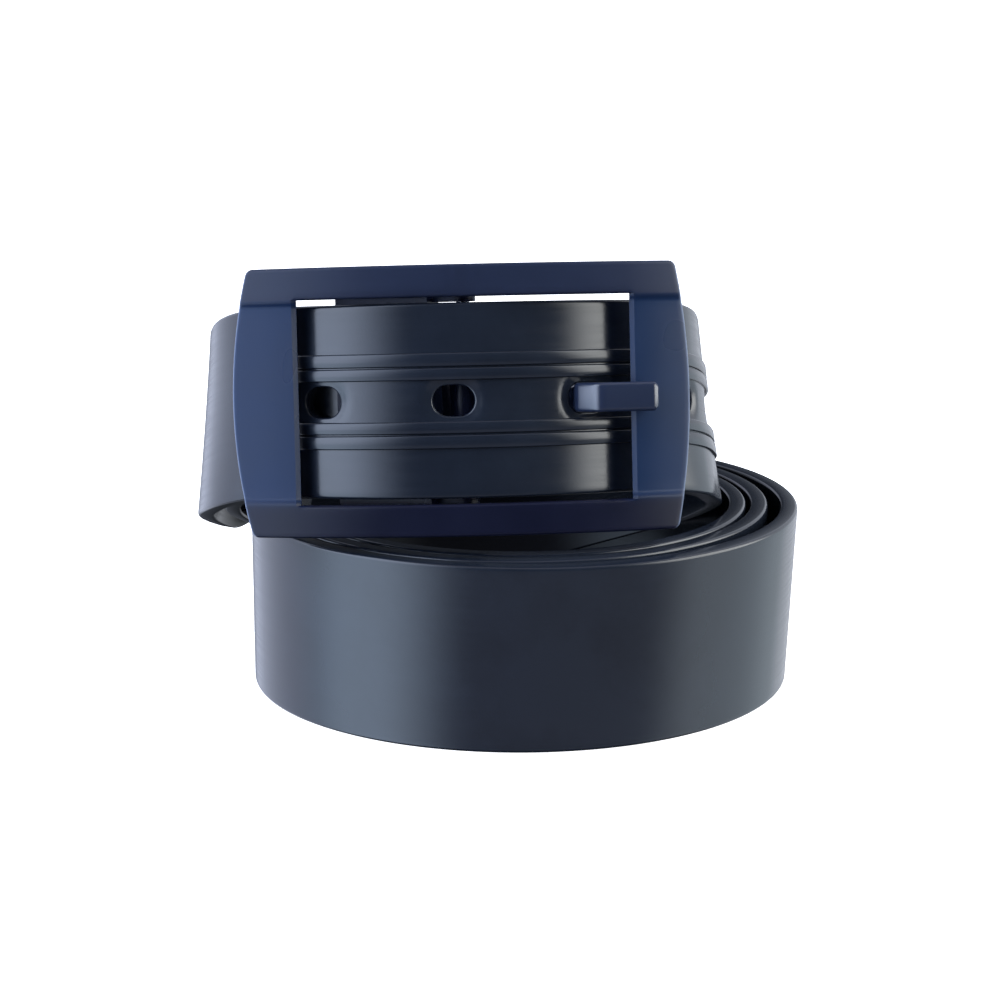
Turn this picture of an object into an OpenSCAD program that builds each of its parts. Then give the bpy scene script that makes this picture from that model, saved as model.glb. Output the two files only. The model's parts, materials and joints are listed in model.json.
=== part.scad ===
// Elastomer belt, coiled on edge and closed with a plastic centre-bar pin buckle.
// Millimetres, +Z up, the lower coil stands on the floor at z = 0, the buckle faces -Y.
// Angles along the strap run clockwise seen from above: 0 is the front, 90 the left side.

/* [Strap] */
// Width of the strap
strap_w = 35; // [34:0.5:36]
// Thickness of the strap
strap_t = 3.3; // [3:0.1:3.4]
// Number of holes
holes = 5; // [3:1:6]
// Distance between hole centres along the strap
hole_pitch = 24.5; // [22:0.5:26]
// Length of a hole along the strap
hole_l = 7.5; // [7:0.1:8]
// Height of a hole across the strap
hole_h = 5.65; // [5.5:0.05:6]
// Height of the ribs beside the holes
rib_h = 0.5; // [0.2:0.1:0.6]

/* [Coil] */
// Half the outer width of the lower coil
coil_x = 52.3; // [51:0.1:54]
// Half the outer depth of the lower coil
coil_y = 49; // [48:0.1:51]
// Radial step from one turn of the lower coil to the next
turn_step = 4.2; // [4:0.1:4.3]
// Outer radius of the upper loop that passes through the buckle
loop_r = 49.6; // [49:0.1:50]

/* [Buckle] */
// Width of the buckle frame at its bulged sides
frame_w = 83.2; // [82:0.2:85]
// Height of the buckle frame
frame_h = 48.6; // [48:0.2:50]
// Thickness of the buckle frame
frame_t = 3.5; // [3:0.1:4]
// Width of the window in the frame
window_w = 60; // [58:0.5:61]
// Height of the window in the frame
window_h = 37; // [36.5:0.1:38]
// Backward lean of the buckle
buckle_lean = 11; // [9:0.5:12]
// Sideways roll of the buckle, its right side up
buckle_roll = 1.3; // [0:0.1:2]
// Diameter of the hinge pin
pin_d = 2.4; // [2:0.1:2.6]
// Width of the prong
prong_w = 5.3; // [5:0.05:5.4]

/* [Hidden] */
rubber = "#1d2430";
plastic = "#26335f";
steel = "#b9bcc0";
e = 0.01;
run_gap = 0.05;

// Strap path, in degrees along the coil
front = 4 * 360;
path_start = 7.5;
path_end = front + 128;
fall_end = 219;
rise_length = 270;
rise_start = front - rise_length;
path_step = 5;
loop_drop = 45.6;
loop_offset = -1.2;
line_turn = 20;
line_r = 41.9;
inner_gap = 1.9;
side_pull = 2.8;
side_bulge = 1;
fall_delay = 6;

// Place of the buckle: the outer face of the strap in the middle of the window
buckle_at = [-10.4, -39.5, strap_w / 2 + loop_drop];
u_dir = [cos(buckle_roll), 0, sin(buckle_roll)];
back_dir = [sin(buckle_lean) * sin(buckle_roll), cos(buckle_lean), -sin(buckle_lean) * cos(buckle_roll)];
v_dir = [-cos(buckle_lean) * sin(buckle_roll), sin(buckle_lean), cos(buckle_lean) * cos(buckle_roll)];
loop_at = buckle_at + u_dir * loop_offset + back_dir * loop_r;

function ease(x) = x <= 0 ? 0 : x >= 1 ? 1 : (1 - cos(180 * x)) / 2;
function mix(a, b, k) = a * (1 - k) + b * k;
function unit(v) = v / norm(v);

// Angle away from the front of the turn, 0 to 180
function from_front(t) = abs((t + 180) % 360 - 180);

// Height above the floor turns, 0 to 1
function lift(t) = t < front ? 1 - ease((t - fall_delay) / fall_end) + ease((t - rise_start) / rise_length)
    : 1 - ease((t - front) / fall_end);

// Share of the upper loop in the plan position, 0 on the floor turns
function reach(t) = t < rise_start ? 1 - ease((t - 40) / 210)
    : t < front ? ease((t - front + 100) / 72)
    : 1;

// Share of the buckle's own plane in the path, 1 in the window
function in_window(t) = 1 - ease((from_front(t) - 35) / 45);

// Outward bulge of the upper loop at its left side, where it passes the floor turns
function bulge_at(t) = side_bulge * ease((t - 35) / 35) * (1 - ease((t - 100) / 60));

// Polar radius of the strap's middle about the upper loop's axis
function fixed_r(t) = mix(line_r / cos(min(t, 38) - line_turn), loop_r - strap_t * 1.5 - inner_gap,
    ease((t - 30) / 30));
function upper_r(t) = t < rise_start ? fixed_r(t) + bulge_at(t)
    : loop_r - strap_t / 2 - side_pull * pull(t) + bulge_at(t - front);

// Outward flare of the outer turn's top edge at its right side, in degrees
function flare(t) = t < 400 ? 3.2 * pow(max(0, cos(t - 300)), 2) * (1 - reach(t)) : 0;

// Share of the inward pull on the rising turn, which is greatest at its right side
function pull(t) = t < rise_start ? 0 : ease((t - front + 150) / 50) * (1 - ease((t - front + 85) / 45));

// Inset of the rising turn, whose sloping edges would else touch the turn outside it
function inset(t) = t > rise_start ? 0.5 * ease((t - rise_start) / 60) : 0;

function lower_r(t) = coil_x - strap_t / 2 - turn_step * (t - 360) / 360 + strap_w / 2 * sin(flare(t))
    - inset(t) - side_pull * pull(t);
function flare_lift(t) = strap_t / 2 * sin(flare(t)) - strap_w / 2 * (1 - cos(flare(t)));
function height(t) = strap_w / 2 + loop_drop * lift(t) + flare_lift(t);
function lower_at(t) = [-turn_step / 4 - lower_r(t) * sin(t), -lower_r(t) * cos(t) * coil_y / coil_x, height(t)];
function upper_at(t) = [loop_at[0] - upper_r(t) * sin(t), loop_at[1] - upper_r(t) * cos(t), height(t)];
function window_at(t) = loop_at - u_dir * upper_r(t) * sin(t) - back_dir * upper_r(t) * cos(t);
function path_at(t) = mix(lower_at(t), mix(upper_at(t), window_at(t), in_window(t)), reach(t));

// Inward lean of the strap's top edge
function lean_share(t) = t > rise_start && t < front ? ease((t - front + 150) / 60) : reach(t);
function lean(t) = lean_share(t) * (5 + 6 * cos(t) - 0.3 * sin(t)) + 2.5 * pull(t) - flare(t);

// Directions of the strap: along, across (up) and out
function along(t) = unit(path_at(t + 0.5) - path_at(t - 0.5));
function plain_out(t) = let (d = along(t)) unit([-d[1], d[0], 0]);
function wanted_up(t) = mix([0, 0, 1] * cos(lean(t)) - plain_out(t) * sin(lean(t)), v_dir, in_window(t) * reach(t));
function up(t) = let (d = along(t), w = wanted_up(t)) unit(w - d * (w * d));
function out(t) = cross(up(t), along(t));

// The tail's rounded tip
tip_turn = 16;
function tip_width(t) = t < path_end - tip_turn ? 1 : sqrt(1 - pow(0.97 * (t - path_end + tip_turn) / tip_turn, 2));
stations = concat([for (t = [path_start : path_step : path_end - tip_turn]) t],
    [for (i = [1 : 8]) path_end - tip_turn + tip_turn * sin(90 * i / 8)]);

// Shift that puts the origin on the floor under the middle of the belt
outline = [for (t = stations, s = [-1, 1]) path_at(t) + up(t) * strap_w / 2 * s + out(t) * strap_t / 2];
function places(axis) = [for (p = outline) p[axis]];
function middle(axis) = (min(places(axis)) + max(places(axis))) / 2;
origin_shift = -[middle(0), middle(1), min(places(2))];

// Buckle and clamp
frame_r = 90;
frame_front = -1;
left_w = frame_w / 2 + 0.75;
right_w = frame_w - left_w;
left_bulge = 3.3;
right_bulge = 2.5;
bar_recess = 0.6;
bar_t = 2.4;
edge_cut = 0.6;
back_cut = 1.2;
pin_at = [0, 7];
lug_r = 3.2;
lug_in = 20.5;
knuckle_r = 2.3;
clamp_at = [loop_offset - line_r * sin(line_turn), loop_r - line_r * cos(line_turn)];
clamp_mouth = -7.2;
clamp_end = 10.8;
clamp_h = 40.6;
clamp_wall = 1;
lip_l = 2;
lip_h = 16;
lip_from = -1.5;
channel = strap_t + 0.3;
pin_rel = pin_at - clamp_at;
pin_in_clamp = [pin_rel[0] * cos(line_turn) - pin_rel[1] * sin(line_turn),
    pin_rel[0] * sin(line_turn) + pin_rel[1] * cos(line_turn)];
lever_at = [4.6, 4.5];
lever_pin_d = 2;
lever_w = 29.4;
tooth_gap = 0.1;

// A closed band along the strap: from one angle to another, between two heights across
// and two depths through the strap
module band(turns, low, high, deep, proud, taper = false) {
    points = [for (t = turns)
        let (k = taper ? tip_width(t) : 1, p = path_at(t), a = up(t) * k, n = out(t))
        each [p + a * low + n * proud, p + a * high + n * proud, p + a * high + n * deep, p + a * low + n * deep]];
    last = len(turns) - 1;
    sides = [for (i = [0 : last - 1], j = [0 : 3])
        let (a = 4 * i + j, b = 4 * i + (j + 1) % 4)
        each [[a, b + 4, b], [a, a + 4, b + 4]]];
    ends = [[1, 2, 3], [0, 1, 3], [4 * last + 2, 4 * last + 1, 4 * last], [4 * last + 3, 4 * last + 2, 4 * last]];
    polyhedron(points, concat(sides, ends));
}

// Angle along the strap of hole number i, counted from the tail
function hole_turn(i) = front + 30.1 - i * hole_pitch / (loop_r - strap_t / 2) * 180 / PI;

// Puts a shape at a point of the strap: x along it, y across it, z towards the inside
module at_strap(t) {
    p = path_at(t);
    a = along(t);
    b = up(t);
    c = -out(t);
    multmatrix([[a[0], b[0], c[0], p[0]], [a[1], b[1], c[1], p[1]], [a[2], b[2], c[2], p[2]]]) children();
}

module oblong(l, h, depth) {
    hull() {
        for (s = [-1, 1])
            translate([s * (l - h) / 2, 0, 0]) cylinder(h = depth, d = h, center = true, $fn = 24);
    }
}

module strap() {
    rib_turns = [front - 130 : path_step : front + 37];
    color(rubber)
    translate(origin_shift)
    difference() {
        union() {
            band(stations, -strap_w / 2, strap_w / 2, -strap_t / 2, strap_t / 2, true);
            for (s = [-1, 1], edge = [[3.7, 5.8], [6.2, 8.6]])
                band([for (t = rib_turns) t], min(s * edge), max(s * edge), 0, strap_t / 2 + rib_h);
        }
        for (i = [0 : holes - 1]) {
            at_strap(hole_turn(i)) oblong(hole_l, hole_h, 4 * strap_t);
            at_strap(hole_turn(i)) translate([0, 0, -strap_t / 2]) oblong(hole_l + 1.2, hole_h + 1.2, 0.6);
        }
    }
}

// Puts a shape in the buckle: x to its right, y towards the back, z up along its bars
module at_buckle() {
    translate(origin_shift + buckle_at) rotate([-buckle_lean, -buckle_roll, 0]) children();
}

// Puts a shape in the clamp: x towards the hinge, y towards the back, z up
module at_clamp() {
    at_buckle() translate([clamp_at[0], clamp_at[1], 0]) rotate([0, 0, -line_turn]) children();
}

module upright(at, h, r) {
    translate([at[0], at[1], 0]) cylinder(h = h, r = r, center = true, $fn = 48);
}

// Radius of a side of the frame that stands out by a bulge in its middle
function side_r(bulge) = (frame_h * frame_h / 4 + bulge * bulge) / (2 * bulge);

module frame_outline() {
    intersection() {
        translate([-left_w, -frame_h / 2]) square([frame_w, frame_h]);
        translate([right_w - side_r(right_bulge), 0]) circle(r = side_r(right_bulge), $fn = 180);
        translate([side_r(left_bulge) - left_w, 0]) circle(r = side_r(left_bulge), $fn = 180);
    }
}

module lug(s) {
    h = frame_h / 2 - lug_in;
    translate([pin_at[0], 0, s * (lug_in + h / 2)]) {
        translate([0, pin_at[1], 0]) cylinder(h = h, r = lug_r, center = true, $fn = 48);
        translate([-lug_r, frame_front + frame_t - 1, -h / 2]) cube([2 * lug_r, pin_at[1] - frame_front - frame_t + 1, h]);
    }
}

// Depth of a curved face of the frame at a distance x from the middle
function face_at(r, x) = frame_front + frame_r - sqrt(r * r - x * x);

// Upright square bar on edge, which chamfers the frame's edge at x on the face of radius r
// and stops short of the rails
module chamfer(x, r, size) {
    translate([x, face_at(r, x), 0]) rotate([0, 0, 45])
        cube([size * sqrt(2), size * sqrt(2), window_h - 2], center = true);
}

module buckle_frame() {
    bar_front_r = frame_r - bar_recess;
    bar_back_r = bar_front_r - bar_t;
    color(plastic)
    at_buckle()
    difference() {
        union() {
            intersection() {
                rotate([90, 0, 0]) linear_extrude(height = 60, center = true) frame_outline();
                difference() {
                    upright([0, frame_front + frame_r], frame_h, frame_r);
                    upright([0, frame_front + frame_r], frame_h + 1, frame_r - frame_t);
                }
                translate([-left_w, frame_front - 1, -frame_h / 2]) cube([frame_w, 30, frame_h]);
            }
            lug(1);
            lug(-1);
        }
        translate([-window_w / 2, frame_front - 1, -window_h / 2]) cube([window_w, 30, window_h]);
        difference() {
            upright([0, frame_front + frame_r], window_h, frame_r + 1);
            upright([0, frame_front + frame_r], window_h + 1, bar_front_r);
        }
        upright([0, frame_front + frame_r], window_h, bar_back_r);
        for (s = [-1, 1]) {
            chamfer(s * window_w / 2, bar_front_r, edge_cut);
            chamfer(s * window_w / 2, bar_back_r, back_cut);
        }
        upright(pin_at, frame_h + 1, pin_d / 2);
    }
}

module hinge_pin() {
    color(steel) at_buckle() upright(pin_at, frame_h - 1, pin_d / 2);
}

// Middle line of the prong seen from above: knuckle, arm, back bend, neck, front bend, tip
prong_t = 2.4;
prong_neck_w = 4.6;
prong_line = [pin_at, [15.5, 11.4], [19.9, 11.6], [21.6, 5.2], [24.4, 2.2], [34.6, 4.2]];
prong_bars = len(prong_line) - 1;

module prong_bar(a, b, w) {
    d = b - a;
    translate([a[0], a[1], 0]) rotate([0, 0, atan2(d[1], d[0])])
        translate([0, -prong_t / 2, -w / 2]) cube([norm(d), prong_t, w]);
}

module prong() {
    color(plastic)
    at_buckle()
    difference() {
        union() {
            upright(pin_at, 12, 2.6);
            for (i = [0 : prong_bars - 1]) {
                w = i == prong_bars - 1 ? prong_w : prong_neck_w;
                prong_bar(prong_line[i], prong_line[i + 1], w);
                upright(prong_line[i], w, prong_t / 2);
            }
        }
        upright(pin_at, 13, pin_d / 2 + run_gap);
    }
}

// Box that holds the strap's fixed end, with an arm to each end of the hinge pin
// and a lip between them that closes the gap to the prong's knuckle
module clamp_housing() {
    depth = channel + 2 * clamp_wall;
    arm_h = (clamp_h - strap_w) / 2 - 0.2;
    color(plastic)
    at_clamp()
    difference() {
        union() {
            translate([clamp_mouth, -depth / 2, -clamp_h / 2]) cube([clamp_end - clamp_mouth, depth, clamp_h]);
            translate([clamp_end - e, lip_from, -lip_h / 2]) cube([lip_l + e, depth / 2 - lip_from, lip_h]);
            for (s = [-1, 1]) {
                translate([0, 0, s * (clamp_h - arm_h) / 2]) {
                    upright(pin_in_clamp, arm_h, knuckle_r);
                    translate([clamp_end - 1, pin_in_clamp[1] - knuckle_r, -arm_h / 2])
                        cube([pin_in_clamp[0] - clamp_end + 1, 2 * knuckle_r, arm_h]);
                }
                translate([lever_at[0], depth / 2 - e, s * (lever_w / 2 + 1.4)]) {
                    translate([-2, 0, -1]) cube([4, lever_at[1] - depth / 2, 2]);
                    translate([0, lever_at[1] - depth / 2 + e, 0]) cylinder(h = 2, r = 2, center = true, $fn = 48);
                }
            }
        }
        translate([clamp_mouth - 1, -channel / 2, -strap_w / 2 - 0.2])
            cube([clamp_end - clamp_mouth, channel, strap_w + 0.4]);
        translate([lever_at[0] - 4, 0, -lever_w / 2 - 0.3]) cube([8, depth, lever_w + 0.6]);
        upright(pin_in_clamp, clamp_h + 1, pin_d / 2 + run_gap);
        upright(lever_at, lever_w + 8, lever_pin_d / 2);
    }
}

module clamp_lever() {
    tip_r = lever_at[1] - strap_t / 2 - tooth_gap;
    plate_y = (channel + 2 * clamp_wall) / 2 + 0.1;
    color(plastic)
    at_clamp()
    difference() {
        union() {
            upright(lever_at, lever_w, 1.9);
            translate([clamp_mouth + 0.6, plate_y, -lever_w / 2])
                cube([lever_at[0] - clamp_mouth - 0.6, 1.5, lever_w]);
            for (a = [-28 : 14 : 28])
                translate([lever_at[0], lever_at[1], 0]) rotate([0, 0, a - 90])
                    linear_extrude(height = lever_w - 1, center = true) polygon([[1.4, -0.3], [tip_r, 0], [1.4, 0.3]]);
        }
        upright(lever_at, lever_w + 1, lever_pin_d / 2 + run_gap);
    }
}

module lever_pin() {
    color(steel) at_clamp() upright(lever_at, lever_w + 4.8, lever_pin_d / 2);
}

strap();
buckle_frame();
hinge_pin();
prong();
clamp_housing();
clamp_lever();
lever_pin();
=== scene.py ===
import json
import math

import bmesh
import bpy
import numpy as np
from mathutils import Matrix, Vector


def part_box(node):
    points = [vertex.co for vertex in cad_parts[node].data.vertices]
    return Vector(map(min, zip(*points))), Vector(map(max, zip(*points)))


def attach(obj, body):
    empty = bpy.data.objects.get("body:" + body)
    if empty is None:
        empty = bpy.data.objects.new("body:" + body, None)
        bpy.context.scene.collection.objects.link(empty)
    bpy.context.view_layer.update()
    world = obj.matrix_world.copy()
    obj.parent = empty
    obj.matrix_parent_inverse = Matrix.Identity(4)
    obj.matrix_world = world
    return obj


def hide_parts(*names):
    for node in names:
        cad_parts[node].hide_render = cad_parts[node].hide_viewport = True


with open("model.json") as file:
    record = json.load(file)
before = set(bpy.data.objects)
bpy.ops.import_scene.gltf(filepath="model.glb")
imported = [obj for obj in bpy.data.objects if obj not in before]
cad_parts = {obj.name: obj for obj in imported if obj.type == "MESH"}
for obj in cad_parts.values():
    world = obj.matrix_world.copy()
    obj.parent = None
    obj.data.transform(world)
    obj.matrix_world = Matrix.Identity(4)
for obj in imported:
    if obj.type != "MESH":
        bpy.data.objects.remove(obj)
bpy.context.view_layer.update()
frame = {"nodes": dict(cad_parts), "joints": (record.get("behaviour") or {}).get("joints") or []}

MM = 0.001

# ---------------------------------------------------------------- driving sizes, in millimetres
STRAP_W = 35.0
STRAP_T = 3.3
HOLES = 5
HOLE_PITCH = 24.5
HOLE_HALF_L = 3.75
HOLE_HALF_H = 2.825
RIB_H = 0.5
COIL_X = 52.3  # half the outer width of the lower coil
COIL_Y = 49.0  # half its outer depth
TURN_STEP = 4.2  # from one turn of the lower coil to the next
LOOP_R = 49.6  # outer radius of the upper loop through the buckle
LOOP_DROP = 45.6  # from the upper loop to the lower coil
LOOP_OFFSET = -1.2  # sideways from the buckle's middle to the loop's
LINE_R = 41.9  # from the loop's axis to the straight end in the clamp
INNER_GAP = 1.9  # between the two layers of the upper loop
SIDE_PULL = 2.8  # inwards, of the rising turn at its right side
SIDE_BULGE = 1.0  # outwards, of the upper loop at its left side
RISING_INSET = 0.5  # keeps the rising turn clear of the turn outside it
PIN_DEPTH = 7.0  # from the strap's outer face to the hinge pin

# ---------------------------------------------------------------- the strap's path, in degrees along it
# 0 is the front, 90 the left side, and the buckle's window is four turns on
FRONT = 4 * 360.0
PATH_START = 7.5
PATH_END = FRONT + 128.0
TIP_TURN = 16.0  # length of the rounded tip
LINE_TURN = 20.0  # turn of the straight end in the clamp
LINE_END = 38.0
RISE_START = FRONT - 270.0
FLARE = 3.2  # outward lean of the outer turn's top edge, greatest at FLARE_AT
FLARE_AT = 300.0
FLARE_END = 400.0
LEAN = 5.0  # inward lean of the upper loop's top edge: all round, more at the front, a little at the side
LEAN_FRONT = 6.0
LEAN_SIDE = -0.3
PULL_LEAN = 2.5

# Soft changes along the path, each as where it starts and how long it is
FALL = (6.0, 219.0)
RISE = (RISE_START, 270.0)
TAIL_FALL = (FRONT, 219.0)
LEAVE_LOOP = (40.0, 210.0)
JOIN_LOOP = (FRONT - 100.0, 72.0)
LEAVE_WINDOW = (35.0, 45.0)
LEAVE_LINE = (30.0, 30.0)
BULGE_IN = (35.0, 35.0)
BULGE_OUT = (100.0, 60.0)
PULL_IN = (FRONT - 150.0, 50.0)
PULL_OUT = (FRONT - 85.0, 45.0)
LEAN_IN = (FRONT - 150.0, 60.0)
INSET_IN = (RISE_START, 60.0)

joints = {j["name"]: j for j in frame["joints"]}
V_DIR = np.array(joints["frame_swing"]["axis"])
PIN_AT = np.array(joints["frame_swing"]["pos_m"]) / MM
ROLL = math.atan2(-V_DIR[0], V_DIR[2])
U_DIR = np.array([math.cos(ROLL), 0, math.sin(ROLL)])
BACK_DIR = np.cross(V_DIR, U_DIR)
BUCKLE_AT = PIN_AT - BACK_DIR * PIN_DEPTH
LOOP_AT = BUCKLE_AT + U_DIR * LOOP_OFFSET + BACK_DIR * LOOP_R


# ---------------------------------------------------------------- small helpers
def ease(x):
    return (1 - np.cos(np.pi * np.clip(x, 0, 1))) / 2


def step(t, change):
    """0 before a change along the path, 1 after it, and soft in between."""
    start, length = change
    return ease((t - start) / length)


def mix(a, b, k):
    return a * (1 - k) + b * k


def unit(v):
    return v / np.linalg.norm(v, axis=-1, keepdims=True)


def lengths_along(points):
    """Length of a line of points from its start to each of them."""
    return np.concatenate([[0], np.cumsum(np.linalg.norm(np.diff(points, axis=0), axis=1))])


def sin(t):
    return np.sin(np.radians(t))


def cos(t):
    return np.cos(np.radians(t))


def new_object(name, verts, faces):
    """A mesh object in metres from points in millimetres, its normals turned outwards."""
    mesh = bpy.data.meshes.new(name)
    mesh.from_pydata([tuple(p) for p in np.asarray(verts) * MM], [], [tuple(map(int, f)) for f in faces])
    work = bmesh.new()
    work.from_mesh(mesh)
    bmesh.ops.recalc_face_normals(work, faces=work.faces)
    work.to_mesh(mesh)
    work.free()
    obj = bpy.data.objects.new(name, mesh)
    bpy.context.scene.collection.objects.link(obj)
    return obj


def smooth(obj, angle=40):
    obj.data.shade_smooth()
    obj.data.set_sharp_from_angle(angle=math.radians(angle))


# ---------------------------------------------------------------- the strap's path
def lift(t):
    """Height above the floor turns, 0 to 1."""
    before = 1 - step(t, FALL) + step(t, RISE)
    return np.where(t < FRONT, before, 1 - step(t, TAIL_FALL))


def reach(t):
    """Share of the upper loop in the plan position, 0 on the floor turns."""
    return np.where(t < RISE_START, 1 - step(t, LEAVE_LOOP), step(t, JOIN_LOOP))


def in_window(t):
    """Share of the buckle's own plane in the path, 1 in the window."""
    from_front = np.abs((t + 180) % 360 - 180)
    return 1 - step(from_front, LEAVE_WINDOW)


def bulge_at(t):
    """Outward bulge of the upper loop at its left side, where it passes the floor turns."""
    return SIDE_BULGE * step(t, BULGE_IN) * (1 - step(t, BULGE_OUT))


def pull(t):
    """Share of the inward pull on the rising turn, which is greatest at its right side."""
    return np.where(t < RISE_START, 0.0, step(t, PULL_IN) * (1 - step(t, PULL_OUT)))


def upper_r(t):
    """Polar radius of the strap's middle about the upper loop's axis."""
    line = LINE_R / cos(np.minimum(t, LINE_END) - LINE_TURN)
    fixed = mix(line, LOOP_R - STRAP_T * 1.5 - INNER_GAP, step(t, LEAVE_LINE))
    free = LOOP_R - STRAP_T / 2 - SIDE_PULL * pull(t) + bulge_at(t - FRONT)
    return np.where(t < RISE_START, fixed + bulge_at(t), free)


def flare(t):
    """Outward flare of the outer turn's top edge at its right side, in degrees."""
    return np.where(t < FLARE_END, FLARE * np.maximum(0, cos(t - FLARE_AT)) ** 2 * (1 - reach(t)), 0.0)


def lower_r(t):
    """Radius of the strap's middle in the lower coil, across its width."""
    inset = np.where(t > RISE_START, RISING_INSET * step(t, INSET_IN), 0.0) + SIDE_PULL * pull(t)
    return COIL_X - STRAP_T / 2 - TURN_STEP * (t - 360) / 360 + STRAP_W / 2 * sin(flare(t)) - inset


def path_at(t):
    """Middle of the strap at angle t along its path."""
    flare_lift = STRAP_T / 2 * sin(flare(t)) - STRAP_W / 2 * (1 - cos(flare(t)))
    height = STRAP_W / 2 + LOOP_DROP * lift(t) + flare_lift
    r = lower_r(t)
    lower_x = COIL_AT[0] - TURN_STEP / 4 - r * sin(t)
    lower_y = COIL_AT[1] - r * cos(t) * COIL_Y / COIL_X
    lower = np.stack([lower_x, lower_y, height], -1)
    r = upper_r(t)
    upper = np.stack([LOOP_AT[0] - r * sin(t), LOOP_AT[1] - r * cos(t), height], -1)
    window = LOOP_AT - U_DIR * (r * sin(t))[:, None] - BACK_DIR * (r * cos(t))[:, None]
    return mix(lower, mix(upper, window, in_window(t)[:, None]), reach(t)[:, None])


def strap_axes(t):
    """Directions along, up and out of the strap."""
    d = unit(path_at(t + 0.5) - path_at(t - 0.5))
    plain = unit(np.stack([-d[:, 1], d[:, 0], 0 * t], -1))
    share = np.where((t > RISE_START) & (t < FRONT), step(t, LEAN_IN), reach(t))
    lean = share * (LEAN + LEAN_FRONT * cos(t) + LEAN_SIDE * sin(t)) + PULL_LEAN * pull(t) - flare(t)
    up = np.array([0, 0, 1.0]) * cos(lean)[:, None] - plain * sin(lean)[:, None]
    up = mix(up, V_DIR, (in_window(t) * reach(t))[:, None])
    up = unit(up - d * np.sum(up * d, -1, keepdims=True))
    return d, up, np.cross(up, d)


def tip_width(t):
    """Share of the strap's width left at angle t, where the tip rounds off."""
    x = np.clip((t - PATH_END + TIP_TURN) / TIP_TURN, 0, 1)
    return np.sqrt(1 - (0.97 * x) ** 2)


# The lower coil's middle, found from the frame: the strap's box is the coil's and the loop's together
COIL_AT = np.zeros(3)
strap_lo, strap_hi = [np.array(c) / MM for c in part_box("strap")]
turns = np.arange(PATH_START, PATH_END, 1.0)
_, up, out = strap_axes(turns)
outer = path_at(turns) + out * STRAP_T / 2
COIL_AT = np.array([
    strap_hi[0] - (outer + up * STRAP_W / 2)[:, 0].max(),
    strap_lo[1] - outer[(turns > 330) & (turns < 390), 1].min(),
    0])


# ---------------------------------------------------------------- the strap
CELL = 0.875  # mesh width round the holes
PATCH_COLUMNS = 8  # half the columns of the patch round one hole
PATCH_ROWS = 4  # half its rows
PATCH_HALF_H = PATCH_ROWS * CELL
EDGE_R = 0.6
DISH_DEPTH = 0.55
DISH_REACH = 2.3
RIBS = ((3.66, 5.92, 0.28), (6.08, 8.6, 0.3))  # from and to across the strap, and how soft the edges are
RIB_FOOT = RIBS[0][0]
RIB_START_TURN = FRONT - 130
RIB_END_TURN = FRONT + 37
FIRST_HOLE_TURN = FRONT + 30.1
HOLE_EDGE_R = 0.3
TIP_EDGE = 0.9  # length over which the tip's faces round off


def bead(low, high, soft):
    """Points across one rib: distance across the strap and share of the rib's height."""
    side = [(soft * (1 - cos(a)), sin(a)) for a in (0, 25, 55, 90)]
    return [(low + d, h) for d, h in side] + [(high - d, h) for d, h in reversed(side)]


def half_front():
    """From the middle of the front face to its edge: distance across and share of the rib's height."""
    channel = [(CELL * i, 0.0) for i in range(PATCH_ROWS + 1)]
    ribs = [point for rib in RIBS for point in bead(*rib)]
    plain = [(v, 0.0) for v in (9.4, 11.2, 13.0, 14.8, 16.0)]
    return channel + ribs + plain


def half_back():
    """The same for the flat back face."""
    channel = [(CELL * i, 0.0) for i in range(PATCH_ROWS + 1)]
    return channel + [(v, 0.0) for v in (5.5, 8.0, 10.5, 13.0, 15.5)]


def rounded_edge():
    """From the front face round the edge to the back face: distance across and depth."""
    turn = np.linspace(0, 90, 6)
    across, deep = STRAP_W / 2 - EDGE_R, STRAP_T / 2 - EDGE_R
    front_arc = [(across + EDGE_R * sin(a), deep + EDGE_R * cos(a)) for a in turn]
    return front_arc + [(v, -n) for v, n in reversed(front_arc)]


def strap_section():
    """Closed section of the strap, as (across, out, rib share) rows,
    and the numbers of the front and back rows that can lie in a hole's patch."""
    front = [(-v, h) for v, h in reversed(half_front()[1:])] + half_front()
    back = [(-v, h) for v, h in reversed(half_back()[1:])] + half_back()
    edge = rounded_edge()
    rows = [(v, STRAP_T / 2, h) for v, h in front]
    rows += [(v, n, 0.0) for v, n in edge]
    rows += [(v, -STRAP_T / 2, 0.0) for v, h in reversed(back)]
    rows += [(-v, n, 0.0) for v, n in reversed(edge)]
    front_rows = [i for i, row in enumerate(rows) if row[1] == STRAP_T / 2 and abs(row[0]) <= PATCH_HALF_H]
    back_rows = [i for i, row in enumerate(rows) if row[1] == -STRAP_T / 2 and abs(row[0]) <= PATCH_HALF_H]
    return np.array(rows), front_rows, back_rows


def hole_turn(i):
    """Angle along the strap of hole number i, counted from the tip."""
    return FIRST_HOLE_TURN - math.degrees(i * HOLE_PITCH / (LOOP_R - STRAP_T / 2))


def hole_distance(s, v):
    """Distance outside the nearest hole's outline, for points in the strap's plane."""
    nearest = np.min([np.hypot(np.maximum(np.abs(s - c) - (HOLE_HALF_L - HOLE_HALF_H), 0), v)
                      for c in hole_s], axis=0)
    return nearest - HOLE_HALF_H


def front_depth(s, v, rib):
    """Height of the strap's front face above its middle."""
    dish = DISH_DEPTH * (1 - ease(hole_distance(s, v) / DISH_REACH)) * (np.abs(v) <= RIB_FOOT + 0.01)
    ends = ease((s - rib_from) / 2) * ease((rib_to - s) / 2)
    return STRAP_T / 2 - dish + RIB_H * rib * ends


def strap_points(s, v, n):
    """Places of points given along, across and out of the strap."""
    t = np.interp(s, path_s, path_t)
    _, up, out = strap_axes(t)
    return path_at(t) + up * (v * tip_width(t))[:, None] + out * n[:, None]


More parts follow.
